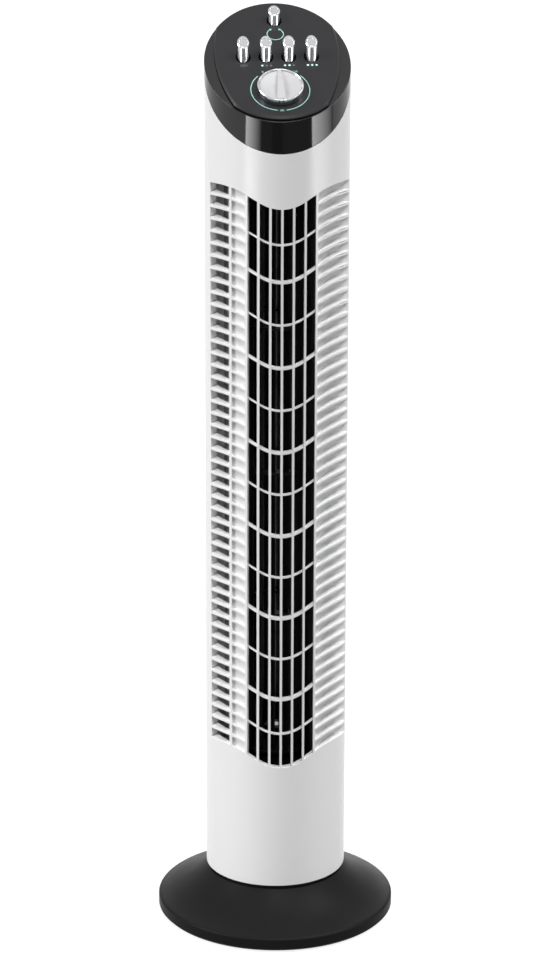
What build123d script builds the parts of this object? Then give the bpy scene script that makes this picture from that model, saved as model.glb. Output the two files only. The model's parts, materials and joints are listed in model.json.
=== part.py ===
from build123d import *
import math
import os

# Tower fan. Millimetres, +Z up, front towards -Y, origin on the floor under the column's axis.

# Column, with the clearances, the depth that ribs are rooted in a wall and how far cuts run past a face
column_radius = 58.0
column_foot = 42.0
wall = 2.4
fit = 0.2
run_clear = 0.05
free_clear = 0.5
root = 0.8
past = 1.0

# Base
base_radius = 98.5
rim_low = 1.5
rim_height = 9.7
rim_round = 1.8
flare_radius = 82.0
flare_top_radius = 57.0
swivel_gap = 3.5
plate_thickness = 2.5
foot_radius = 6.5
foot_circle = 84.0
foot_count = 5
foot_start = -90.0
base_screw_circle = 74.0
base_screw_count = 4
base_screw_start = 45.0
boss_radius = 4.5
gland_bore = 3.2
gland_wall = 1.2
gland_length = 7.0

# Screws
screw_radius = 1.5
screw_head_radius = 3.0
screw_head = 1.8
screw_bite = 9.0
pilot_spare = 1.0

# Swing bearing and crank
post_radius = 6.5
post_bore = 4.0
post_flange_radius = 12.0
post_flange = 3.0
hub_wall = 6.5
hub_height = 8.0
washer_thickness = 1.2
nut_flats = 18.0
nut_height = 5.5
post_spare = 3.0
thrust_ring_width = 4.5
thrust_ring_inset = 3.0
crank_centre = 28.2
crank_throw = 18.3
crank_pin_radius = 2.0
crank_arm_radius = 3.2
crank_arm_thickness = 2.4
crank_shaft_radius = 3.0
crank_slot_play = 1.4
swing_motor_radius = 24.5
swing_motor_height = 18.0
swing_motor_bore_depth = 8.0
swing_motor_ear_reach = 31.0
swing_motor_lift = 4.0
ear_thickness = 2.0

# Louvre zone: all its ribs and borders follow one curve, highest near the sides and drooping at the front
zone_top = 636.9
rib_pitch = 10.115
rib_count = 47
rib_height = 1.9
rib_depth = 6.0
curve_radius = 35.0
curve_slope = 29.0
curve_crest = 45.7
curve_side_radius = 24.0
zone_border = 2.5

# Fields of louvres: grooves at the right, shallow grooves left of the grille, open slots at the far left
groove_depth = 5.0
groove_margin = 1.5
shallow_depth = 2.8
divider_width = 1.8
slot_start = 40.8
slot_margin = 3.5
ramp_run = 5.1
ramp_depth = 14.2
floor_wall = 2.4

# Outlet grille
bar_pitch = 9.3
bar_width = 1.8
bar_gaps = 6
first_cross_rib = 6
cross_rib_step = 7
cross_rib_height = 2.0
cross_rib_sink = 0.7
fine_rib_height = 1.3
fine_rib_sink = 1.6

# Rear intake
intake_columns = 9
intake_pitch = 8.0
intake_slot = 4.4
intake_rows = 5
intake_bridge = 8.0

# Decks and housing fasteners
deck_thickness = 3.0
deck_inset = 2.0
ledge_height = 2.0
ledge_reach = 5.5
lower_deck_drop = 4.5
upper_deck_rise = 4.0
housing_screw_x = 44.0
housing_screw_low = 72.0
housing_screw_rise = 14.0
housing_screw_seat = 18.0

# Impeller and motor
wheel_y = 7.0
wheel_radius = 33.0
wheel_gap = 6.0
wheel_disc = 2.0
wheel_sections = 4
blade_count = 18
blade_length = 9.5
blade_thickness = 1.3
blade_camber = 1.4
blade_lean = 32.0
wheel_hub_radius = 9.0
wheel_hub_height = 14.0
shaft_radius = 4.0
pin_radius = 2.5
pin_grip = 10.0
motor_radius = 38.0
motor_height = 45.0
motor_wall = 1.5
stator_height = 22.0
stator_bore = 20.3
air_gap = 0.6
insulation_height = 6.0
insulation_inset = 3.0
motor_boss_radius = 9.0
motor_boss_height = 6.0
motor_screw_circle = 30.0
motor_screw_count = 3
motor_screw_start = 90.0
bush_radius = 6.0
holder_radius = 12.0

# Air guide
duct_wall = 2.0
scroll_gap = 8.0
scroll_start = 205.0
scroll_end = 120.0
tongue_gap = 3.5
tongue_angle = -48.0
outlet_y = -41.0

# Head: the panel, the shoulder round it and the lower edge of the black cap
panel_height = 729.2
panel_tilt = 30.5
panel_raise = 3.2
panel_inset = 0.8
panel_side_radius = 110.0
panel_half_width = 49.6
panel_widest_y = 8.0
panel_corner = 6.0
panel_edge = 1.3
roof = 2.6
cap_drop = 13.6
cap_tilt = 40.5
cap_back_band = 5.0
cap_bend = 25.0
spigot_depth = 9.0
spigot_overlap = 3.5
head_screw_x = 20.0
head_screw_lift = 4.0

# Controls
button_radius = 4.7
button_hole_radius = 6.0
button_pitch = 18.0
button_y = 2.0
button_rise = 12.5
button_slope = 40.0
swing_button_y = 38.4
swing_button_rise = 8.5
swing_button_slope = 34.0
button_edge = 0.6
button_dish_radius = 3.2
button_dish = 0.4
button_travel = 4.0
stem_radius = 2.5
stem_bite = 6.0
switch_depth = 11.0
switch_height = 16.0
switch_end = 11.5
switch_drop = 10.0
swing_switch_half = 12.5
post_foot_radius = 2.6
dial_y = -30.6
knob_radius = 18.2
knob_ring_width = 1.7
knob_height = 5.6
knob_floor = 4.4
knob_dish_radius = 58.0
knob_gap = 0.6
grip_narrow = 2.0
grip_wide = 5.0
grip_taper = 0.7
timer_radius = 16.5
timer_length = 18.0
timer_bore_depth = 14.0
timer_shaft_radius = 3.0
shaft_hole_radius = 5.0
capacitor_size = (37.0, 16.0, 26.0)


# Basic shapes

def rod(radius, low, high, x=0.0, y=0.0):
    """Upright round bar."""
    return Pos(x, y, (low + high) / 2) * Cylinder(radius, high - low)


def tube(outer, inner, low, high, x=0.0, y=0.0):
    """Upright tube."""
    return extrude(Pos(x, y, low) * (Circle(outer) - Circle(inner)), high - low)


def half_tube(outer, inner, low, high, side):
    """Front (side -1) or rear (side 1) half of an upright tube on the column's axis."""
    half = Pos(0, side * outer / 2) * Rectangle(2 * outer, outer)
    return extrude(Pos(0, 0, low) * ((Circle(outer) - Circle(inner)) & half), high - low)


def block(x_range, y_range, z_range):
    """Box between two limits on each axis."""
    spans = (x_range, y_range, z_range)
    middle = Pos(*[(low + high) / 2 for low, high in spans])
    return middle * Box(*[high - low for low, high in spans])


def cross_rod(radius, y_from, y_to, x, z):
    """Round bar along Y."""
    return Pos(x, (y_from + y_to) / 2, z) * Rot(90, 0, 0) * Cylinder(radius, abs(y_to - y_from))


def side_cut(points):
    """Prism right across the column from an outline in the YZ plane."""
    return extrude(Plane.YZ * make_face(Polyline(*points, close=True)), 2 * column_radius, both=True)


def ring_places(count, radius, start):
    """Evenly spaced points on a circle round the axis."""
    angles = [math.radians(start + 360 * step / count) for step in range(count)]
    return [(radius * math.cos(angle), radius * math.sin(angle)) for angle in angles]


# Heights that follow from the sizes above

base_top = column_foot - swivel_gap
floor_top = column_foot + plate_thickness
hub_top = column_foot + hub_height
zone_height = rib_pitch * rib_count
slope = math.radians(curve_slope)
arc_run = curve_radius * math.sin(slope)
arc_drop = curve_radius * (1 - math.cos(slope))
line_end = curve_crest - arc_run
curve_drop = 2 * arc_drop + (line_end - arc_run) * math.tan(slope)
zone_bottom_front = zone_top - zone_height + rib_height - curve_drop
lower_deck_top = zone_bottom_front - zone_border - lower_deck_drop
upper_deck_low = zone_top + zone_border + upper_deck_rise
upper_deck_top = upper_deck_low + deck_thickness
lower_deck_low = lower_deck_top - deck_thickness
inner_radius = column_radius - wall
louvre_start = (bar_gaps * bar_pitch + bar_width) / 2
louvre_end = column_radius - root
deck_radius = inner_radius - deck_inset
swing_motor_low = hub_top + washer_thickness + nut_height + post_spare + swing_motor_lift
tilt_rise = math.tan(math.radians(panel_tilt))
tilt_cos = math.cos(math.radians(panel_tilt))
shoulder_height = panel_height - panel_raise
cap_edge = panel_height - cap_drop
motor_low = lower_deck_low - motor_height
reach = 1.5 * column_radius
tall = panel_height + 2 * column_radius


def on_panel(y):
    """Height of the panel's top face."""
    return panel_height + y * tilt_rise


def on_roof(y):
    """Height of the underside of the cap's roof."""
    return shoulder_height - roof / tilt_cos + y * tilt_rise


def below_slope(height, rise):
    """Everything in the head below a plane tilted back to front."""
    front = (-reach, height - reach * rise)
    back = (reach, height + reach * rise)
    return side_cut([front, back, (reach, 0), (-reach, 0)])


def above_cap_edge(shift):
    """Everything above the lower edge of the black cap, moved up by shift."""
    rise = math.tan(math.radians(cap_tilt))
    band_height = shoulder_height - cap_back_band
    bend_y = (band_height - cap_edge) / (rise - tilt_rise)
    low = (-reach, cap_edge - reach * rise + shift)
    bend = (bend_y, cap_edge + bend_y * rise + shift)
    back = (reach, band_height + reach * tilt_rise + shift)
    face = make_face(Polyline(low, bend, back, (reach, tall), (-reach, tall), close=True))
    corner = face.vertices().sort_by_distance((bend[0], bend[1], 0))[0]
    return extrude(Plane.YZ * fillet(corner, cap_bend), 2 * column_radius, both=True)


# Louvre curve

def curve_height(x):
    """Height of the rib curve at x, counted from its crest."""
    run = abs(x)
    if run > line_end:
        radius = curve_side_radius if run > curve_crest else curve_radius
        return math.sqrt(radius ** 2 - (curve_crest - run) ** 2) - radius
    if run >= arc_run:
        return -arc_drop - (line_end - run) * math.tan(slope)
    return -curve_drop + curve_radius - math.sqrt(curve_radius ** 2 - run ** 2)


def curve_lines(x_from, x_to, height):
    """Lines and arcs of the rib curve between two places, in the XZ plane."""
    breaks = [side * run for side in (-1, 1) for run in (arc_run, line_end, curve_crest)]
    stops = [x_from] + sorted(x for x in breaks if x_from < x < x_to) + [x_to]
    lines = []
    for start, end in zip(stops, stops[1:]):
        middle = (start + end) / 2
        ends = [(x, height + curve_height(x)) for x in (start, middle, end)]
        straight = arc_run < abs(middle) < line_end
        lines.append(Line(ends[0], ends[2]) if straight else ThreePointArc(*ends))
    return lines


def band(x_from, x_to, low, high):
    """Front half of a bar between two rib curves, as deep as the column."""
    lower = curve_lines(x_from, x_to, low)
    upper = curve_lines(x_from, x_to, high)
    ends = [Line((x, low + curve_height(x)), (x, high + curve_height(x))) for x in (x_from, x_to)]
    return extrude(Plane.XZ * make_face(lower + upper + ends), column_radius + past)


# Base

def flare(offset):
    """Solid of the flared base, moved in by offset."""
    rim_top = rim_low + rim_height
    start = (base_radius - rim_round, rim_top + rim_round)
    end = (flare_top_radius, base_top)
    chord = math.dist(start, end)
    away = math.sqrt(flare_radius ** 2 - chord ** 2 / 4) / chord
    centre_r = (start[0] + end[0]) / 2 + (end[1] - start[1]) * away
    centre_z = (start[1] + end[1]) / 2 + (start[0] - end[0]) * away
    radius = flare_radius + offset

    def height_at(r):
        return centre_z - math.sqrt(radius ** 2 - (centre_r - r) ** 2)

    side = base_radius - offset
    outer = start[0] if offset == 0 else side
    top = base_top - offset
    inner = centre_r - math.sqrt(radius ** 2 - (centre_z - top) ** 2)
    middle = (outer + inner) / 2
    arc = ThreePointArc((outer, height_at(outer)), (middle, height_at(middle)), (inner, top))
    foot = (side, rim_low) if offset else (side - rim_round, rim_low)
    outline = [arc, Line((inner, top), (0, top)), Line((0, top), (0, rim_low)), Line((0, rim_low), foot)]
    if offset:
        outline.append(Line(foot, (outer, height_at(outer))))
    else:
        outline += [
            Line(foot, (side, rim_low + rim_round)),
            Line((side, rim_low + rim_round), (side, rim_top)),
            RadiusArc((side, rim_top), start, -2 * rim_round),
        ]
    return revolve(Plane.XZ * make_face(outline), Axis.Z)


gland_front = base_radius - rim_round
gland_z = rim_low + rim_height / 2
gland_radius = gland_bore + gland_wall
plate_top = rim_low + plate_thickness
base_screw_places = ring_places(base_screw_count, base_screw_circle, base_screw_start)


def gland_hole():
    """Way for the gland through the rim."""
    back = gland_front - 2 * gland_length
    return cross_rod(gland_radius + fit / 2, back, base_radius + past, 0, gland_z)


def make_base_cover():
    shell = flare(0) - flare(wall)
    bosses = [rod(boss_radius, plate_top, base_top, x, y) for x, y in base_screw_places]
    shell += [boss & flare(wall - root) for boss in bosses]
    pilot_top = plate_top + screw_bite
    shell -= [rod(screw_radius + fit / 2, rim_low, pilot_top, x, y) for x, y in base_screw_places]
    shell -= rod(post_radius + fit / 2, rim_low, base_top + past)
    half_slot = crank_pin_radius + crank_slot_play
    slot_from = crank_centre - crank_throw
    slot_to = crank_centre + crank_throw
    slot_span = (base_top - 2 * wall, base_top + past)
    slot = block((-half_slot, half_slot), (slot_from, slot_to), slot_span)
    ends = [rod(half_slot, *slot_span, 0, y) for y in (slot_from, slot_to)]
    shell -= [slot] + ends
    return shell - gland_hole()


def make_base_plate():
    plate = rod(base_radius - wall - fit, rim_low, plate_top)
    for x, y in base_screw_places:
        plate -= rod(screw_radius + fit, 0, plate_top + past, x, y)
        plate -= rod(screw_head_radius + fit, 0, rim_low + screw_head, x, y)
    return plate - gland_hole()


def make_rubber_feet():
    places = ring_places(foot_count, foot_circle, foot_start)
    return [rod(foot_radius, 0, rim_low, x, y) for x, y in places]


def make_base_screws():
    screws = []
    for x, y in base_screw_places:
        head = rod(screw_head_radius, rim_low + fit, rim_low + screw_head, x, y)
        screws.append(head + rod(screw_radius, rim_low + fit, plate_top + screw_bite - pilot_spare, x, y))
    return screws


def make_cord_gland():
    collar = cross_rod(gland_radius, gland_front - gland_length, gland_front, 0, gland_z)
    return collar - cross_rod(gland_bore, gland_front - 2 * gland_length, base_radius, 0, gland_z)


# Swing bearing

thrust_outer = column_radius - thrust_ring_inset
washer_low = hub_top + fit
nut_low = washer_low + washer_thickness


def make_swivel_post():
    cover_under = base_top - wall
    post = rod(post_radius, cover_under - post_flange, nut_low + nut_height + post_spare)
    post += rod(post_flange_radius, cover_under - post_flange, cover_under)
    return post - rod(post_bore, 0, tall)


def make_swivel_nut():
    nut = extrude(Pos(0, 0, nut_low) * RegularPolygon(nut_flats / 2, 6, major_radius=False), nut_height)
    return nut - rod(post_radius + run_clear, 0, tall)


def make_bottom_plate():
    plate = rod(inner_radius - fit, column_foot, floor_top)
    plate += rod(post_radius + hub_wall, column_foot, hub_top)
    ear_places = [(side * swing_motor_ear_reach, crank_centre) for side in (-1, 1)]
    plate += [rod(boss_radius, column_foot, swing_motor_low, x, y) for x, y in ear_places]
    pilot_low = swing_motor_low - screw_bite
    plate -= [rod(screw_radius + fit / 2, pilot_low, tall, x, y) for x, y in ear_places]
    plate -= rod(crank_shaft_radius + 2 * free_clear, 0, tall, 0, crank_centre)
    return plate - rod(post_radius + run_clear, 0, tall)


def make_swing_motor():
    swing_motor_top = swing_motor_low + swing_motor_height
    body = rod(swing_motor_radius, swing_motor_low, swing_motor_top, 0, crank_centre)
    ear = block((-swing_motor_ear_reach, swing_motor_ear_reach),
                (crank_centre - boss_radius, crank_centre + boss_radius),
                (swing_motor_low, swing_motor_low + ear_thickness))
    body += ear
    for side in (-1, 1):
        x = side * swing_motor_ear_reach
        body += rod(boss_radius, swing_motor_low, swing_motor_low + ear_thickness, x, crank_centre)
        body -= rod(screw_radius + fit, 0, tall, x, crank_centre)
    bore_top = swing_motor_low + swing_motor_bore_depth
    return body - rod(crank_shaft_radius + run_clear, swing_motor_low - past, bore_top, 0, crank_centre)


def make_swing_motor_screws():
    seat = swing_motor_low + ear_thickness
    screws = []
    for side in (-1, 1):
        x = side * swing_motor_ear_reach
        head = rod(screw_head_radius, seat, seat + screw_head, x, crank_centre)
        screws.append(head + rod(screw_radius, seat - screw_bite, seat + screw_head, x, crank_centre))
    return screws


def make_swing_crank():
    arm_low = base_top + (swivel_gap - crank_arm_thickness) / 2
    arm_high = arm_low + crank_arm_thickness
    shaft_top = swing_motor_low + swing_motor_bore_depth - free_clear
    pin_y = crank_centre + crank_throw
    crank = rod(crank_shaft_radius, arm_low, shaft_top, 0, crank_centre)
    half = crank_arm_radius
    crank += block((-half, half), (crank_centre, pin_y), (arm_low, arm_high))
    crank += [rod(half, arm_low, arm_high, 0, y) for y in (crank_centre, pin_y)]
    return crank + rod(crank_pin_radius, base_top - wall + fit, arm_high, 0, pin_y)


# Column housings

boss_heights = (housing_screw_low, zone_top + housing_screw_rise)
boss_places = [(side * housing_screw_x, z) for z in boss_heights for side in (-1, 1)]


def add_inside(shell, side):
    """Deck ledges and screw bosses inside one half of the housing."""
    decks = ((lower_deck_low, lower_deck_top), (upper_deck_low, upper_deck_top))
    ledge_inner = inner_radius - ledge_reach
    for low, high in decks:
        for start in (low - ledge_height - fit / 2, high + fit / 2):
            shell += half_tube(inner_radius + root, ledge_inner, start, start + ledge_height, side)
    skin = rod(inner_radius + root, 0, tall)
    for x, z in boss_places:
        shell += cross_rod(boss_radius, 0, side * column_radius, x, z) & skin
    return shell


def skin_y(x):
    """Front face of the column at x."""
    return -math.sqrt(column_radius ** 2 - x ** 2)


def behind_floor(floor, setback):
    """Everything behind the flat floor of a field of louvres, moved back by setback."""
    (x_from, depth_from), (x_to, depth_to) = floor
    start = skin_y(x_from) + depth_from + setback
    rise = (skin_y(x_to) + depth_to + setback - start) / (x_to - x_from)
    side = math.copysign(column_radius, x_to)
    line = [(x, start + (x - x_from) * rise) for x in (0, side)]
    return extrude(make_face(Polyline(*line, (side, reach), (0, reach), close=True)), tall)


def louvre_field(x_from, x_to, floor):
    """One groove for each rib gap between two places across the column, down to a flat floor."""
    solid = behind_floor(floor, 0)
    grooves = []
    for step in range(rib_count):
        high = zone_top - step * rib_pitch
        grooves.append(band(x_from, x_to, high - rib_pitch + rib_height, high) - solid)
    return grooves


def cross_rib(height, thickness, sink):
    """Rib across the grille, set back from the bars' front."""
    reach_x = bar_gaps / 2 * bar_pitch
    strip = band(-reach_x, reach_x, height - thickness, height)
    return strip & tube(column_radius - sink, column_radius - rib_depth + sink, 0, tall)


def make_front_housing():
    zone_low = zone_top - zone_height + rib_height
    borders = (zone_low - zone_border, zone_top + zone_border)
    divider = slot_start - divider_width
    groove = ((louvre_start, groove_depth), (column_radius - groove_margin, 0))
    shallow = ((-louvre_start, shallow_depth), (-divider, shallow_depth))
    slot_end = column_radius - slot_margin
    ramp = ((ramp_run - slot_end, ramp_depth), (-slot_end, 0))
    shell = half_tube(column_radius, inner_radius, column_foot, tall, -1)
    inside = rod(inner_radius + root, 0, tall)
    ribs_back = rod(column_radius - rib_depth, 0, tall)
    shell += (band(-louvre_end, -divider, *borders) & inside) - ribs_back
    shell += (band(-divider, -louvre_start, *borders) & inside) - behind_floor(shallow, floor_wall)
    shell += (band(-louvre_start, louvre_start, *borders) & inside) - ribs_back
    shell += (band(louvre_start, louvre_end, *borders) & inside) - behind_floor(groove, floor_wall)
    shell -= above_cap_edge(0)
    shell = add_inside(shell, -1)
    frame = bar_gaps / 2 * bar_pitch
    half_bar = bar_width / 2
    for gap in range(bar_gaps):
        start = gap * bar_pitch - frame
        shell -= band(start + half_bar, start + bar_pitch - half_bar, zone_low, zone_top)
    shell -= louvre_field(louvre_start, louvre_end, groove)
    shell -= louvre_field(-divider, -louvre_start, shallow)
    shell -= louvre_field(-louvre_end, -slot_start, ramp)
    main_steps = range(first_cross_rib, rib_count, cross_rib_step)
    ribs = []
    for step in main_steps:
        height = zone_top - step * rib_pitch + (rib_height + cross_rib_height) / 2
        ribs.append(cross_rib(height, cross_rib_height, cross_rib_sink))
    stops = [0, *main_steps, rib_count]
    for above, under in zip(stops, stops[1:]):
        height = zone_top - (above + under) / 2 * rib_pitch + (rib_height + fine_rib_height) / 2
        ribs.append(cross_rib(height, fine_rib_height, fine_rib_sink))
    shell += ribs
    return shell - [cross_rod(screw_radius + fit / 2, past, -screw_bite, x, z) for x, z in boss_places]


def make_rear_housing():
    shell = half_tube(column_radius, inner_radius, column_foot, tall, 1)
    shell -= above_cap_edge(0)
    shell = add_inside(shell, 1)
    row_height = (zone_height - intake_bridge) / intake_rows
    first = zone_top - zone_height
    slots = []
    for row in range(intake_rows):
        low = first + row * row_height + intake_bridge
        for column in range(intake_columns):
            x = (column - (intake_columns - 1) / 2) * intake_pitch
            width = (x - intake_slot / 2, x + intake_slot / 2)
            slots.append(block(width, (wall, column_radius + past), (low, low + row_height - intake_bridge)))
    shell -= slots
    for x, z in boss_places:
        shell -= cross_rod(screw_radius + fit, -past, column_radius + past, x, z)
        shell -= cross_rod(screw_head_radius + fit, housing_screw_seat, column_radius + past, x, z)
    for x, z in head_screw_places():
        shell -= cross_rod(screw_radius + fit, inner_radius / 2, column_radius + past, x, z)
        shell -= cross_rod(screw_head_radius + fit, head_screw_seat(), column_radius + past, x, z)
    return shell


def make_housing_screws():
    screws = []
    for x, z in boss_places:
        top = housing_screw_seat + screw_head
        head = cross_rod(screw_head_radius, housing_screw_seat, top, x, z)
        screws.append(head + cross_rod(screw_radius, pilot_spare - screw_bite, top, x, z))
    return screws


# Decks, motor and impeller

motor_screw_ring = ring_places(motor_screw_count, motor_screw_circle, motor_screw_start)
motor_screw_places = [(x, y + wheel_y) for x, y in motor_screw_ring]


def make_lower_deck():
    deck = rod(deck_radius, lower_deck_low, lower_deck_top)
    deck -= rod(wheel_hub_radius + 2 * free_clear, 0, tall, 0, wheel_y)
    return deck - [rod(screw_radius + fit, 0, tall, x, y) for x, y in motor_screw_places]


def make_upper_deck():
    deck = rod(deck_radius, upper_deck_low, upper_deck_top)
    return deck - rod(holder_radius + fit, 0, tall, 0, wheel_y)


def motor_cup(low, high, floor_low, boss_low):
    """Half of the motor's case with its shaft bearing."""
    cup = tube(motor_radius, motor_radius - motor_wall, low, high, 0, wheel_y)
    cup += rod(motor_radius, floor_low, floor_low + motor_wall, 0, wheel_y)
    cup += rod(motor_boss_radius, boss_low, boss_low + motor_boss_height, 0, wheel_y)
    return cup - rod(shaft_radius + run_clear, 0, tall, 0, wheel_y)


motor_middle = motor_low + motor_height / 2


def make_motor_lower_shell():
    return motor_cup(motor_low, motor_middle, motor_low, motor_low)


def make_motor_upper_shell():
    lid = lower_deck_low - motor_wall
    cup = motor_cup(motor_middle, lower_deck_low, lid, lower_deck_low - motor_boss_height)
    return cup - [rod(screw_radius + fit / 2, motor_middle, tall, x, y) for x, y in motor_screw_places]


stator_low = motor_middle - stator_height / 2
stator_high = motor_middle + stator_height / 2


def make_stator_core():
    return tube(motor_radius - motor_wall - fit, stator_bore, stator_low, stator_high, 0, wheel_y)


def make_stator_insulation():
    outer = motor_radius - motor_wall - insulation_inset
    inner = stator_bore + insulation_inset
    lows = (stator_low - insulation_height, stator_high)
    return [tube(outer, inner, low, low + insulation_height, 0, wheel_y) for low in lows]


def make_motor_screws():
    screws = []
    for x, y in motor_screw_places:
        top = lower_deck_top + screw_head
        head = rod(screw_head_radius, lower_deck_top, top, x, y)
        screws.append(head + rod(screw_radius, lower_deck_low - screw_bite / 2, top, x, y))
    return screws


wheel_low = lower_deck_top + wheel_gap
wheel_high = upper_deck_low - wheel_gap


def make_motor_rotor():
    core = rod(stator_bore - air_gap, stator_low, stator_high, 0, wheel_y)
    return core + rod(shaft_radius, motor_low + motor_wall, wheel_low + wheel_hub_height, 0, wheel_y)


def blade_outline():
    """Section of one cambered blade, standing on the wheel's rim."""
    half = blade_length / 2
    lip = blade_thickness / 2
    front = ThreePointArc((-half, lip), (0, lip + blade_camber), (half, lip))
    back = ThreePointArc((-half, -lip), (0, blade_camber - lip), (half, -lip))
    ends = [Line((x, -lip), (x, lip)) for x in (-half, half)]
    return make_face([front, back] + ends)


def make_impeller():
    section = (wheel_high - wheel_low - wheel_disc) / wheel_sections
    discs = []
    for step in range(wheel_sections + 1):
        low = wheel_low + step * section
        discs.append(tube(wheel_radius, wheel_radius - blade_length, low, low + wheel_disc))
    ends = [rod(wheel_radius, low, low + wheel_disc) for low in (wheel_low, wheel_high - wheel_disc)]
    wheel = discs[0] + discs[1:] + ends
    blade_at = wheel_radius - blade_length / 2 * math.cos(math.radians(blade_lean)) - blade_thickness
    blade = Pos(blade_at, 0) * Rot(0, 0, blade_lean) * blade_outline()
    turns = [Pos(0, 0, wheel_low) * Rot(0, 0, 360 * step / blade_count) for step in range(blade_count)]
    wheel += [extrude(turn * blade, wheel_high - wheel_low) for turn in turns]
    wheel += rod(wheel_hub_radius, wheel_low, wheel_low + wheel_hub_height)
    wheel += rod(wheel_hub_radius, wheel_high - wheel_hub_height, wheel_high)
    wheel -= rod(shaft_radius, 0, wheel_low + wheel_hub_height)
    wheel -= rod(pin_radius, wheel_high - pin_grip, tall)
    return Pos(0, wheel_y, 0) * wheel


def make_impeller_pin():
    return rod(pin_radius, wheel_high - pin_grip, upper_deck_top, 0, wheel_y)


def make_bearing_bush():
    return tube(bush_radius, pin_radius + run_clear, upper_deck_low, upper_deck_top, 0, wheel_y)


def make_bearing_holder():
    return tube(holder_radius, bush_radius, upper_deck_low, upper_deck_top, 0, wheel_y)


# Air guide

def upright_wall(path):
    """Sheet wall between the two decks along a path in plan."""
    return extrude(Pos(0, 0, lower_deck_top) * trace(path, duct_wall), upper_deck_low - lower_deck_top)


outlet_half = bar_gaps / 2 * bar_pitch - bar_width


def make_scroll_wall():
    radius = wheel_radius + scroll_gap
    start = math.radians(scroll_start)
    end = math.radians(scroll_end)
    first = (radius * math.cos(start), wheel_y + radius * math.sin(start))
    last = (radius * math.cos(end), wheel_y + radius * math.sin(end))
    throat = Line((-outlet_half, outlet_y), first)
    return upright_wall([throat, ThreePointArc(first, (-radius, wheel_y), last)])


def make_tongue_wall():
    angle = math.radians(tongue_angle)
    radius = wheel_radius + tongue_gap
    tip = (radius * math.cos(angle), wheel_y + radius * math.sin(angle))
    return upright_wall([Line((outlet_half, outlet_y), tip)])


# Head

def head_screw_seat():
    """Depth of the flat that a head screw sits on, at the back of the column."""
    return math.sqrt(column_radius ** 2 - head_screw_x ** 2) - wall / 2


def head_screw_places():
    y = math.sqrt(column_radius ** 2 - head_screw_x ** 2)
    z = shoulder_height - cap_back_band + y * tilt_rise - spigot_depth + head_screw_lift
    return [(side * head_screw_x, z) for side in (-1, 1)]


def button_places():
    """Plan place, rise and top slope of each button."""
    names = ("speed_button_off", "speed_button_low", "speed_button_mid", "speed_button_high")
    places = {}
    for step, name in enumerate(names):
        places[name] = ((step - 1.5) * button_pitch, button_y, button_rise, button_slope)
    places["swing_button"] = (0.0, swing_button_y, swing_button_rise, swing_button_slope)
    return places


dial = Pos(0, dial_y, on_panel(dial_y)) * Rot(panel_tilt, 0, 0)


def cut_controls(piece):
    """Holes for the buttons and the timer's shaft."""
    places = button_places().values()
    piece -= [rod(button_hole_radius, column_foot, tall, x, y) for x, y, rise, top in places]
    return piece - dial * Cylinder(shaft_hole_radius, 4 * (panel_raise + roof))


switch_top = on_roof(button_y) - switch_drop
swing_switch_top = on_roof(swing_button_y) - switch_drop
switch_half = 1.5 * button_pitch + switch_end


def switch_feet():
    """Plan places of the posts that carry the two switches, with the height that each one stands on."""
    reach_x = switch_half - post_foot_radius
    swing_x = swing_switch_half - post_foot_radius
    feet = [(side * reach_x, button_y, switch_top) for side in (-1, 1)]
    return feet + [(side * swing_x, swing_button_y, swing_switch_top) for side in (-1, 1)]


def make_head_cap():
    roof_skin = below_slope(shoulder_height - roof / 2, tilt_rise)
    cap = rod(column_radius, column_foot, tall) & above_cap_edge(0)
    cap &= below_slope(shoulder_height, tilt_rise)
    cap -= rod(inner_radius, 0, tall) & below_slope(shoulder_height - roof / tilt_cos, tilt_rise)
    spigot_inner = inner_radius - fit - wall
    collar = tube(inner_radius + root, spigot_inner, column_foot, tall) & above_cap_edge(0)
    collar += tube(inner_radius - fit, spigot_inner, column_foot, tall) & above_cap_edge(-spigot_depth)
    collar -= above_cap_edge(spigot_overlap)
    cap += collar & roof_skin
    for x, y, low in switch_feet():
        cap += rod(post_foot_radius, low, tall, x, y) & roof_skin
        cap -= rod(screw_radius + fit / 2, low - past, low + switch_drop / 2, x, y)
    for x, z in head_screw_places():
        cap -= cross_rod(screw_radius + fit / 2, inner_radius / 2, column_radius, x, z)
    return cut_controls(cap)


def make_head_screws():
    seat = head_screw_seat()
    screws = []
    for x, z in head_screw_places():
        head = cross_rod(screw_head_radius, seat, seat + screw_head, x, z)
        screws.append(head + cross_rod(screw_radius, seat - screw_bite, seat + screw_head, x, z))
    return screws


def make_control_panel():
    side = panel_side_radius - panel_half_width
    outline = Circle(column_radius - panel_inset)
    for x in (-side, side):
        outline &= Pos(x, panel_widest_y) * Circle(panel_side_radius)
    outline = fillet(outline.vertices(), panel_corner)
    slab = extrude(Pos(0, 0, column_foot) * outline, tall - column_foot)
    slab &= below_slope(panel_height, tilt_rise)
    slab -= below_slope(shoulder_height, tilt_rise)
    top = slab.faces().sort_by(Axis.Z)[-1]
    return cut_controls(chamfer(top.edges(), panel_edge))


def make_switch(half, y, top):
    """Push switch block with a guide hole for each stem."""
    body = block((-half, half), (y - switch_depth / 2, y + switch_depth / 2), (top - switch_height, top))
    guide = stem_radius + free_clear
    depth = stem_bite + button_travel + free_clear
    for x, place_y, rise, slant in button_places().values():
        if place_y == y:
            body -= rod(guide, top - depth, top + past, x, y)
    for x, place_y, low in switch_feet():
        if place_y == y:
            body -= rod(screw_radius + fit, 0, tall, x, y)
    return body


def make_switch_screws():
    screws = []
    for x, y, top in switch_feet():
        low = top - switch_height
        tip = top + switch_drop / 2 - pilot_spare
        head = rod(screw_head_radius, low - screw_head, low, x, y)
        screws.append(head + rod(screw_radius, low - screw_head, tip, x, y))
    return screws


def dial_rod(radius, low, high):
    """Round bar square to the panel, on the knob's axis, counted from the panel's face."""
    return Pos(0, 0, (low + high) / 2) * Cylinder(radius, high - low)


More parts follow.
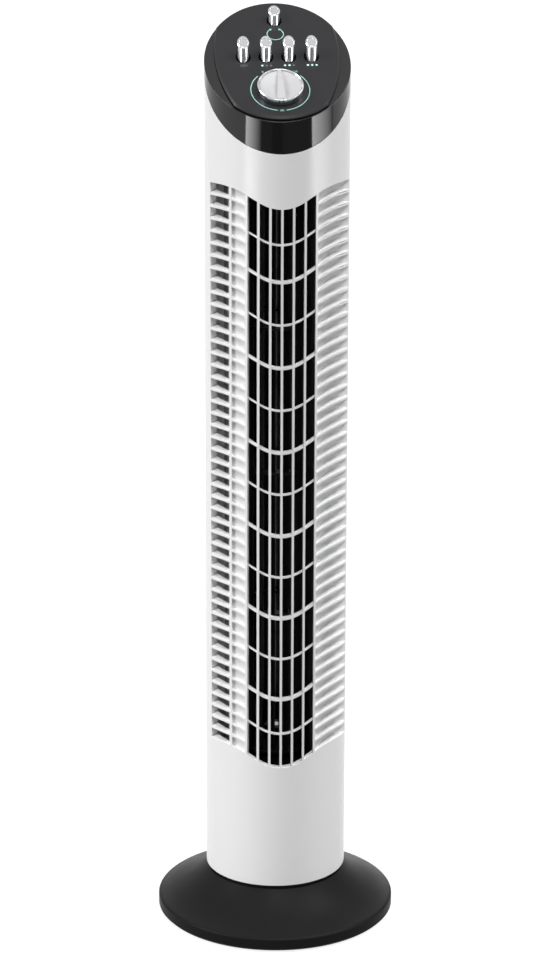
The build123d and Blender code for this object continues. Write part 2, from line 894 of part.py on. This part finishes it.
timer_top = -(panel_raise * tilt_cos + roof)


def make_timer_unit():
    body = dial_rod(timer_radius, timer_top - timer_length, timer_top)
    bore = dial_rod(timer_shaft_radius + run_clear, timer_top - timer_bore_depth, timer_top + past)
    return dial * (body - bore)


# Controls that move

def make_button(x, y, rise, top_slope):
    top = on_panel(y) + rise
    switch = switch_top if y == button_y else swing_switch_top
    under = on_roof(y - button_hole_radius) + free_clear
    head = rod(button_radius, under, tall, x, y)
    slant = math.tan(math.radians(top_slope))
    head &= below_slope(top - y * slant, slant)
    crown = head.faces().sort_by(Axis.Z)[-1]
    head = chamfer(crown.edges(), button_edge)
    dish = Pos(x, y, top) * Rot(top_slope, 0, 0) * Cylinder(button_dish_radius, 2 * button_dish)
    return head - dish + rod(stem_radius, switch - stem_bite, under + root, x, y)


def make_timer_knob_ring():
    section = Circle(knob_radius) - Circle(knob_radius - knob_ring_width)
    ring = Pos(0, 0, knob_gap) * extrude(section, knob_height)
    rims = ring.edges().filter_by(GeomType.CIRCLE).group_by(Axis.Z)[-1]
    return dial * chamfer(rims, knob_ring_width / 3)


def grip_outline(narrow, wide, height):
    """Wedge across the knob, narrow at the back and wide at the front."""
    long = knob_radius - knob_ring_width
    corners = [(-narrow, long), (narrow, long), (wide, -long), (-wide, -long)]
    return Pos(0, 0, height) * make_face(Polyline(*corners, close=True))


def make_timer_knob():
    inner = knob_radius - knob_ring_width
    floor = knob_gap + knob_floor
    disc = dial_rod(inner, knob_gap, floor)
    dish_middle = floor + math.sqrt(knob_dish_radius ** 2 - (inner - root) ** 2)
    disc -= Pos(0, 0, dish_middle) * Sphere(knob_dish_radius)
    foot = grip_outline(grip_narrow, grip_wide, knob_gap + root)
    crest = grip_outline(grip_taper * grip_narrow, grip_taper * grip_wide, knob_gap + knob_height)
    grip = loft([foot, crest]) & dial_rod(inner, knob_gap, 2 * knob_height)
    shaft = dial_rod(timer_shaft_radius, timer_top - timer_bore_depth + free_clear, knob_gap + root)
    return dial * (disc + grip + shaft)


def make_run_capacitor():
    width, depth, height = capacitor_size
    places = (-crank_centre - depth / 2, -crank_centre + depth / 2)
    return block((-width / 2, width / 2), places, (floor_top, floor_top + height))


nodes = {
    "base_cover": make_base_cover(),
    "base_plate": make_base_plate(),
    "rubber_feet": make_rubber_feet(),
    "base_screws": make_base_screws(),
    "cord_gland": make_cord_gland(),
    "swivel_post": make_swivel_post(),
    "swivel_washer": tube(post_flange_radius, post_radius + run_clear, washer_low, nut_low),
    "swivel_nut": make_swivel_nut(),
    "thrust_ring": tube(thrust_outer, thrust_outer - thrust_ring_width, base_top, column_foot),
    "bottom_plate": make_bottom_plate(),
    "front_housing": make_front_housing(),
    "rear_housing": make_rear_housing(),
    "housing_screws": make_housing_screws(),
    "lower_deck": make_lower_deck(),
    "upper_deck": make_upper_deck(),
    "motor_lower_shell": make_motor_lower_shell(),
    "motor_upper_shell": make_motor_upper_shell(),
    "stator_core": make_stator_core(),
    "stator_insulation": make_stator_insulation(),
    "motor_screws": make_motor_screws(),
    "motor_rotor": make_motor_rotor(),
    "impeller": make_impeller(),
    "impeller_pin": make_impeller_pin(),
    "bearing_bush": make_bearing_bush(),
    "bearing_holder": make_bearing_holder(),
    "scroll_wall": make_scroll_wall(),
    "tongue_wall": make_tongue_wall(),
    "swing_motor": make_swing_motor(),
    "swing_motor_screws": make_swing_motor_screws(),
    "swing_crank": make_swing_crank(),
    "run_capacitor": make_run_capacitor(),
    "head_cap": make_head_cap(),
    "head_screws": make_head_screws(),
    "control_panel": make_control_panel(),
    "switch_block": make_switch(switch_half, button_y, switch_top),
    "swing_switch": make_switch(swing_switch_half, swing_button_y, swing_switch_top),
    "switch_screws": make_switch_screws(),
    "timer_unit": make_timer_unit(),
    "timer_knob": make_timer_knob(),
    "timer_knob_ring": make_timer_knob_ring(),
}
for name, place in button_places().items():
    nodes[name] = make_button(*place)

os.makedirs("parts", exist_ok=True)
for name, shape in nodes.items():
    solids = Compound(children=shape) if isinstance(shape, list) else shape
    export_step(solids, f"parts/{name}.step")
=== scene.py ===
"""Finishes, prints and studio for a tower fan. Metres, +Z up, front towards -Y."""

import json
import math

import bmesh
import bpy
from mathutils import Matrix, Vector


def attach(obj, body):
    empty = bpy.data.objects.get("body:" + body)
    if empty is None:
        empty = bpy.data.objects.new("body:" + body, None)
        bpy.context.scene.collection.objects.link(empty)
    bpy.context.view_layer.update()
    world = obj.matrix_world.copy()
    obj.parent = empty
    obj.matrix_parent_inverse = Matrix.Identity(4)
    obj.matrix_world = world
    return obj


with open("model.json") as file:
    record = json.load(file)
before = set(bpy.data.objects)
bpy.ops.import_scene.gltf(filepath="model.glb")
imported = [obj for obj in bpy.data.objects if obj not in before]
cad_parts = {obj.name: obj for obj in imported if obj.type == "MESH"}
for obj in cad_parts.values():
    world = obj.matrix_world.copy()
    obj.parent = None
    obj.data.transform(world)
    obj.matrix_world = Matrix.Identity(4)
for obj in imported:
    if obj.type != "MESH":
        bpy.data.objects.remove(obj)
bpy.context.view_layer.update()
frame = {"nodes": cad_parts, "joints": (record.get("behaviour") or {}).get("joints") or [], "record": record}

MM = 0.001

# The photograph's camera
FRAME_HEIGHT = 955
FOCAL_PIXELS = 3758
SENSOR = 36.0
CAMERA_AT = Vector((-216, -2903, 1365)) * MM
CAMERA_AIM = Vector((-0.65, 0, 381)) * MM
CAMERA_ROLL = math.radians(0.16)


# Nodes and materials

def linear(code):
    """Linear RGBA of an sRGB hex colour."""
    parts = [int(code[i:i + 2], 16) / 255 for i in (1, 3, 5)]
    return [c / 12.92 if c <= 0.04045 else ((c + 0.055) / 1.055) ** 2.4 for c in parts] + [1.0]


def per_mm(size):
    """Scale of a noise pattern whose features are about size millimetres wide."""
    return 1 / (size * MM)


def add(tree, kind, settings=None, inputs=None):
    """Adds a node with its settings, and its inputs as values or as sockets to link."""
    node = tree.nodes.new(kind)
    for name, value in (settings or {}).items():
        setattr(node, name, value)
    for name, value in (inputs or {}).items():
        if isinstance(value, bpy.types.NodeSocket):
            tree.links.new(value, node.inputs[name])
        else:
            node.inputs[name].default_value = value
    return node


def new_material(name):
    """Empty material, its node tree and its Object coordinates."""
    material = bpy.data.materials.new(name)
    material.use_nodes = True
    tree = material.node_tree
    tree.nodes.clear()
    return material, tree, add(tree, "ShaderNodeTexCoord").outputs["Object"]


def finish_material(tree, shader):
    """Puts a Principled shader with the given inputs on the surface."""
    principled = add(tree, "ShaderNodeBsdfPrincipled", inputs=shader)
    add(tree, "ShaderNodeOutputMaterial", inputs={"Surface": principled.outputs[0]})


# Part of a noise pattern's range that its values mostly lie in
NOISE_LOW = 0.3
NOISE_HIGH = 0.7

ABS_IOR = 1.53
FLOW_MM = 24
STREAK_STRETCH = (1, 1, 0.05)
METAL_EDGE_MM = 0.25
INK_IOR = 1.5
INK_ROUGHNESS = 0.45
PINHOLE_MM = 0.4
THIN_COVER = 0.8


def moulded(name, colour, roughness, spread, peel_mm, peel_depth, edge_mm, specular=0.5):
    """Injection-moulded plastic: an even colour, a skin with a faint orange peel and softened edges."""
    material, tree, coords = new_material(name)
    flow = add(tree, "ShaderNodeTexNoise", inputs={
        "Vector": coords, "Scale": per_mm(FLOW_MM), "Detail": 3.0})
    sheen = add(tree, "ShaderNodeMapRange", inputs={
        "Value": flow.outputs["Fac"], "From Min": NOISE_LOW, "From Max": NOISE_HIGH,
        "To Min": roughness - spread, "To Max": roughness + spread})
    edge = add(tree, "ShaderNodeBevel", {"samples": 6}, {"Radius": edge_mm * MM})
    peel = add(tree, "ShaderNodeTexNoise", inputs={
        "Vector": coords, "Scale": per_mm(peel_mm), "Detail": 2.0})
    bump = add(tree, "ShaderNodeBump", inputs={
        "Height": peel.outputs["Fac"], "Distance": peel_depth * MM, "Strength": 1.0,
        "Normal": edge.outputs[0]})
    finish_material(tree, {
        "Base Color": linear(colour), "IOR": ABS_IOR, "Specular IOR Level": specular,
        "Roughness": sheen.outputs[0], "Normal": bump.outputs[0]})
    return material


def metal(name, colour, roughness, spread, streak_mm, metallic=1.0):
    """Metal surface: fine upright streaks from finishing, which spread its reflections."""
    material, tree, coords = new_material(name)
    stretch = add(tree, "ShaderNodeMapping", inputs={"Vector": coords, "Scale": STREAK_STRETCH})
    streaks = add(tree, "ShaderNodeTexNoise", inputs={
        "Vector": stretch.outputs[0], "Scale": per_mm(streak_mm), "Detail": 4.0})
    sheen = add(tree, "ShaderNodeMapRange", inputs={
        "Value": streaks.outputs["Fac"], "From Min": NOISE_LOW, "From Max": NOISE_HIGH,
        "To Min": roughness - spread, "To Max": roughness + spread})
    edge = add(tree, "ShaderNodeBevel", {"samples": 4}, {"Radius": METAL_EDGE_MM * MM})
    finish_material(tree, {
        "Base Color": linear(colour), "Metallic": metallic,
        "Roughness": sheen.outputs[0], "Normal": edge.outputs[0]})
    return material


def ink(name, colour):
    """Screen-printed ink: a thin satin film with small pinholes of uneven cover."""
    material, tree, coords = new_material(name)
    cover = add(tree, "ShaderNodeTexNoise", inputs={
        "Vector": coords, "Scale": per_mm(PINHOLE_MM), "Detail": 2.0})
    shade = add(tree, "ShaderNodeMix", {"data_type": "RGBA"}, {
        "Factor": cover.outputs["Fac"], 6: linear(colour), 7: [c * THIN_COVER for c in linear(colour)]})
    finish_material(tree, {
        "Base Color": shade.outputs[2], "Roughness": INK_ROUGHNESS, "IOR": INK_IOR})
    return material


FINISHES = {
    # Clean cold white with a broad soft gloss
    "white_abs": moulded(
        "gloss_white_abs", "#EDEDED", roughness=0.25, spread=0.012,
        peel_mm=3.0, peel_depth=0.0012, edge_mm=0.3, specular=0.3),
    # Deep black that mirrors lamps and cards with clear edges
    "black_gloss": moulded(
        "gloss_black_abs", "#131314", roughness=0.07, spread=0.012,
        peel_mm=3.0, peel_depth=0.0012, edge_mm=0.5, specular=0.4),
    # Dark grey with a fine grain that takes the glare off
    "panel_grey": moulded(
        "satin_grey_abs", "#1F1F21", roughness=0.4, spread=0.04,
        peel_mm=0.4, peel_depth=0.003, edge_mm=0.4, specular=0.17),
    # Dull black that lets the inside sink into shadow
    "black_plastic": moulded(
        "black_polypropylene", "#060606", roughness=0.6, spread=0.05,
        peel_mm=0.8, peel_depth=0.004, edge_mm=0.3, specular=0.15),
    # Plain matt mid grey
    "grey_plastic": moulded(
        "grey_nylon", "#8C8C8A", roughness=0.45, spread=0.06,
        peel_mm=0.8, peel_depth=0.006, edge_mm=0.3),
    # Dead matt black
    "rubber": moulded(
        "black_rubber", "#161616", roughness=0.75, spread=0.06,
        peel_mm=0.6, peel_depth=0.01, edge_mm=0.3, specular=0.3),
    # Bluish grey glint
    "steel": metal("zinc_plated_steel", "#B9BBBE", roughness=0.34, spread=0.06, streak_mm=0.3),
    # Bright plating that shows lamps and dark cards as upright streaks
    "chrome": metal("satin_chrome_plating", "#C6C7C9", roughness=0.16, spread=0.02, streak_mm=0.3),
    # Pale silver with a soft pearly sheen, from metal flakes in a clear binder
    "satin_silver": metal(
        "satin_silver_paint", "#AAAAAC", roughness=0.55, spread=0.04, streak_mm=0.3, metallic=0.2),
    # Dull warm brown
    "bronze": metal("sintered_bronze", "#A9824C", roughness=0.5, spread=0.08, streak_mm=0.3),
}
# Soft black with a wide dim sheen
SATIN_BLACK = moulded(
    "satin_black_abs", "#1A1A1B", roughness=0.42, spread=0.03,
    peel_mm=1.5, peel_depth=0.002, edge_mm=0.5, specular=0.03)
# Pale grey that sends some light back out through the open slots
PALE_GREY = moulded(
    "pale_grey_polypropylene", "#C4C4C4", roughness=0.55, spread=0.05,
    peel_mm=0.8, peel_depth=0.004, edge_mm=0.3, specular=0.3)
# Calm blue-green lines
TEAL_INK = ink("teal_ink", "#8FC4B8")
# Brighter dots that stand out first
MINT_INK = ink("mint_ink", "#C4EEE2")
# Marks that hardly show on the dark panel
GREY_INK = ink("grey_ink", "#5A5756")

for row in frame["record"]["subparts"]:
    frame["nodes"][row["node"]].data.materials.clear()
    frame["nodes"][row["node"]].data.materials.append(FINISHES[row["material_slot"]])
frame["nodes"]["base_cover"].data.materials[0] = SATIN_BLACK
frame["nodes"]["scroll_wall"].data.materials[0] = PALE_GREY


# Prints on the panel, in millimetres from the knob's axis: across and up the slope

dial_joint = next(joint for joint in frame["joints"] if joint["name"] == "timer_turn")
panel_normal = -Vector(dial_joint["axis"])
panel_up = panel_normal.cross(Vector((1, 0, 0)))
panel_turn = Matrix(((1, 0, 0), panel_up, panel_normal)).transposed().to_4x4()
panel_place = Matrix.Translation(dial_joint["pos_m"]) @ panel_turn @ Matrix.Scale(MM, 4)

INK_DEPTH = 0.06
LINE_WIDTH = 0.75
DIAL_RING = 23.1
RING_SIDES = ((43.7, -81.5), (136.3, 261.5))
DIAL_ENDS = (12.6, 20.6)
DIAL_TEXT = 3.0
DOT_ROW = 28.0
DOT_RADIUS = 0.9
DOT_PITCH = 3.45
DOT_SIDES = 20
BUTTON_PITCH = 18.0
BUTTON_TEXT = 3.4
TURN_ICON_AT = 64.2
TURN_ICON_RADIUS = 6.5
TURN_ICON_GAP = 38.0
ARROW_LENGTH = 1.8
ARROW_HALF_WIDTH = 1.3
ARC_STEP = 4
FEWEST_ARC_STEPS = 6


def finish_print(name, bm, material):
    """Makes a flat drawing in panel millimetres a thin layer of ink on the panel."""
    faces = bmesh.ops.extrude_face_region(bm, geom=bm.faces[:])["geom"]
    raised = [item for item in faces if isinstance(item, bmesh.types.BMVert)]
    bmesh.ops.translate(bm, verts=raised, vec=(0, 0, INK_DEPTH))
    bmesh.ops.transform(bm, matrix=panel_place, verts=bm.verts[:])
    bmesh.ops.recalc_face_normals(bm, faces=bm.faces[:])
    mesh = bpy.data.meshes.new(name)
    bm.to_mesh(mesh)
    bm.free()
    mesh.materials.append(material)
    piece = bpy.data.objects.new(name, mesh)
    bpy.context.scene.collection.objects.link(piece)
    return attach(piece, "column")


def draw_arc(bm, centre, radius, start, end):
    """Line along an arc, angles in degrees from the right."""
    middle = Vector((centre[0], centre[1], 0))
    turn = Matrix.Rotation(math.radians(start), 4, "Z")
    ends = [bm.verts.new(middle + turn @ Vector((radius + side * LINE_WIDTH / 2, 0, 0)))
            for side in (-1, 1)]
    edge = bm.edges.new(ends)
    steps = max(FEWEST_ARC_STEPS, int(abs(end - start) / ARC_STEP))
    bmesh.ops.spin(bm, geom=ends + [edge], cent=middle, axis=(0, 0, 1),
                   angle=math.radians(end - start), steps=steps, use_merge=False, use_duplicate=False)


def draw_dots(bm, centre, first, count):
    """Dots of one button's row of three, from the given place on."""
    for step in range(first, first + count):
        place = Matrix.Translation((centre + (step - 1) * DOT_PITCH, DOT_ROW, 0))
        bmesh.ops.create_circle(bm, cap_ends=True, segments=DOT_SIDES, radius=DOT_RADIUS, matrix=place)


def make_dial_ring():
    """Ring round the knob, open at the top and at the bottom for its numbers."""
    bm = bmesh.new()
    for start, end in RING_SIDES:
        draw_arc(bm, (0, 0), DIAL_RING, start, end)
    finish_print("dial_ring_print", bm, TEAL_INK)


def make_speed_dots():
    """Three dots under each speed button, as many of them bright as its speed."""
    lit = bmesh.new()
    dim = bmesh.new()
    for speed in (1, 2, 3):
        centre = (speed - 1.5) * BUTTON_PITCH
        draw_dots(lit, centre, 0, speed)
        draw_dots(dim, centre, speed, 3 - speed)
    finish_print("speed_dots_print", lit, MINT_INK)
    finish_print("spare_dots_print", dim, GREY_INK)


def make_turn_icon():
    """Open ring with an arrow at both ends, for the swing."""
    bm = bmesh.new()
    centre = (0, TURN_ICON_AT)
    draw_arc(bm, centre, TURN_ICON_RADIUS, 90 + TURN_ICON_GAP, 450 - TURN_ICON_GAP)
    for side in (-1, 1):
        angle = math.radians(90 + side * TURN_ICON_GAP)
        across = Vector((math.cos(angle), math.sin(angle), 0))
        along = Vector((side * math.sin(angle), -side * math.cos(angle), 0))
        tip = across * TURN_ICON_RADIUS + Vector((0, TURN_ICON_AT, 0))
        corners = [tip + along * ARROW_LENGTH, tip - across * ARROW_HALF_WIDTH,
                   tip + across * ARROW_HALF_WIDTH]
        bm.faces.new([bm.verts.new(corner) for corner in corners])
    finish_print("turn_icon_print", bm, TEAL_INK)


def print_text(name, body, place, size, material):
    """A word or number as ink, centred on a place."""
    curve = bpy.data.curves.new(name, "FONT")
    curve.body = body
    curve.size = size
    curve.align_x = "CENTER"
    curve.align_y = "CENTER"
    holder = bpy.data.objects.new(name + "_curve", curve)
    bpy.context.scene.collection.objects.link(holder)
    mesh = bpy.data.meshes.new_from_object(holder)
    bpy.data.objects.remove(holder)
    bm = bmesh.new()
    bm.from_mesh(mesh)
    bmesh.ops.translate(bm, verts=bm.verts[:], vec=(place[0], place[1], 0))
    bpy.data.meshes.remove(mesh)
    finish_print(name, bm, material)


make_dial_ring()
make_speed_dots()
make_turn_icon()
print_text("off_print", "OFF", (-1.5 * BUTTON_PITCH, DOT_ROW), BUTTON_TEXT, GREY_INK)
print_text("dial_zero_print", "0", (-DIAL_ENDS[0], DIAL_ENDS[1]), DIAL_TEXT, TEAL_INK)
print_text("dial_hundred_twenty_print", "120", DIAL_ENDS, DIAL_TEXT, TEAL_INK)
print_text("dial_sixty_print", "60", (0, -DIAL_RING), DIAL_TEXT, TEAL_INK)


# Studio: a pale floor, wide soft lamps all round, and cards that the glossy fascia shows

FLOOR_HALF = 12.0
FLOOR_GREY = "#7C7C7C"
FLOOR_GLOW = 0.85
WALL_WHITE = "#FFFFFF"
WALL_LIGHT = 0.08
LAMP_SPREAD = math.radians(28)
# Name, azimuth and height angle from the front in degrees, and strength
LAMPS = (
    ("left_lamp", -80, 35, 2.5),
    ("top_lamp", 5, 60, 2.05),
    ("right_lamp", 85, 56, 1.95),
    ("back_lamp", 175, 15, 1.1),
)
# Name, azimuth and height angle from the front in degrees, distance, width, height, and light
# at its two sides
CARDS = (
    ("left_strip", -41, -4.7, 1.75, 0.8, 0.37, 11.0, 0.0),
    ("right_strip", 71.8, -4.7, 1.75, 1.31, 0.37, 9.5, 0.3),
    ("front_flag", 12, -4.7, 1.8, 3.2, 0.42, 0.2, 0.2),
    ("middle_flag", -4, -4.7, 1.7, 0.5, 0.42, 0.1, 0.1),
)
CARD_AIM = Vector((0, 0, 0.38))


def stage_plane(name, width, height):
    """Flat stage piece that isn't part of the fan, with an empty material."""
    mesh = bpy.data.meshes.new(name)
    bm = bmesh.new()
    bmesh.ops.create_grid(bm, x_segments=1, y_segments=1, size=0.5)
    bmesh.ops.scale(bm, verts=bm.verts[:], vec=(width, height, 1))
    bm.to_mesh(mesh)
    bm.free()
    plane = bpy.data.objects.new(name, mesh)
    bpy.context.scene.collection.objects.link(plane)
    material = bpy.data.materials.new(name + "_surface")
    material.use_nodes = True
    material.node_tree.nodes.clear()
    mesh.materials.append(material)
    return plane, material.node_tree


def shown_rays(tree):
    """1 for rays that show a surface to the camera, in gloss or through glass, and 0 for the rest."""
    rays = add(tree, "ShaderNodeLightPath").outputs
    seen = add(tree, "ShaderNodeMath", {"operation": "MAXIMUM"}, {
        0: rays["Is Camera Ray"], 1: rays["Is Glossy Ray"]})
    return add(tree, "ShaderNodeMath", {"operation": "MAXIMUM"}, {
        0: seen.outputs[0], 1: rays["Is Transmission Ray"]}).outputs[0]


def make_floor():
    """White paper that still takes the fan's shadow."""
    floor, tree = stage_plane("floor", 2 * FLOOR_HALF, 2 * FLOOR_HALF)
    paper = add(tree, "ShaderNodeBsdfDiffuse", inputs={"Color": linear(FLOOR_GREY)})
    strength = add(tree, "ShaderNodeMath", {"operation": "MULTIPLY"}, {
        0: shown_rays(tree), 1: FLOOR_GLOW})
    glow = add(tree, "ShaderNodeEmission", inputs={"Strength": strength.outputs[0]})
    both = add(tree, "ShaderNodeAddShader", inputs={0: paper.outputs[0], 1: glow.outputs[0]})
    add(tree, "ShaderNodeOutputMaterial", inputs={"Surface": both.outputs[0]})


def make_card(name, azimuth, rise, away, width, height, left, right):
    """Card that faces the fan and shows in gloss only, its light fading from its left edge to its right."""
    card, tree = stage_plane(name, width, height)
    swing = Matrix.Rotation(math.radians(azimuth), 4, "Z")
    tilt = Matrix.Rotation(math.radians(-90 - rise), 4, "X")
    card.matrix_world = Matrix.Translation(CARD_AIM) @ swing @ tilt @ Matrix.Translation((0, 0, -away))
    card.visible_camera = False
    card.visible_diffuse = False
    coords = add(tree, "ShaderNodeTexCoord").outputs["Object"]
    across = add(tree, "ShaderNodeSeparateXYZ", inputs={0: coords})
    fade = add(tree, "ShaderNodeMapRange", inputs={
        "Value": across.outputs["X"], "From Min": -width / 2, "From Max": width / 2,
        "To Min": left, "To Max": right})
    glow = add(tree, "ShaderNodeEmission", inputs={"Strength": fade.outputs[0]})
    add(tree, "ShaderNodeOutputMaterial", inputs={"Surface": glow.outputs[0]})


def make_lamp(name, azimuth, rise, strength):
    """Wide soft lamp, far enough away to light top and bottom alike."""
    light = bpy.data.lights.new(name, "SUN")
    light.energy = strength
    light.angle = LAMP_SPREAD
    lamp = bpy.data.objects.new(name, light)
    swing = Matrix.Rotation(math.radians(azimuth), 4, "Z")
    tilt = Matrix.Rotation(math.radians(90 - rise), 4, "X")
    lamp.matrix_world = swing @ tilt
    bpy.context.scene.collection.objects.link(lamp)


def make_world():
    """Studio walls, white where they show and dim where they only light the fan."""
    world = bpy.data.worlds.new("studio")
    bpy.context.scene.world = world
    world.use_nodes = True
    tree = world.node_tree
    tree.nodes.clear()
    strength = add(tree, "ShaderNodeMapRange", inputs={
        "Value": shown_rays(tree), "To Min": WALL_LIGHT, "To Max": 1.0})
    walls = add(tree, "ShaderNodeBackground", inputs={
        "Color": linear(WALL_WHITE), "Strength": strength.outputs[0]})
    add(tree, "ShaderNodeOutputWorld", inputs={"Surface": walls.outputs[0]})


def make_camera():
    """Camera at the photograph's viewing angle."""
    data = bpy.data.cameras.new("photo_camera")
    data.sensor_width = SENSOR
    data.lens = SENSOR * FOCAL_PIXELS / FRAME_HEIGHT
    camera = bpy.data.objects.new("photo_camera", data)
    bpy.context.scene.collection.objects.link(camera)
    look = (CAMERA_AIM - CAMERA_AT).to_track_quat("-Z", "Y").to_matrix().to_4x4()
    camera.matrix_world = Matrix.Translation(CAMERA_AT) @ look @ Matrix.Rotation(CAMERA_ROLL, 4, "Z")
    bpy.context.scene.camera = camera


make_floor()
for lamp in LAMPS:
    make_lamp(*lamp)
for card in CARDS:
    make_card(*card)
make_world()
make_camera()
bpy.context.scene.view_settings.view_transform = "Standard"
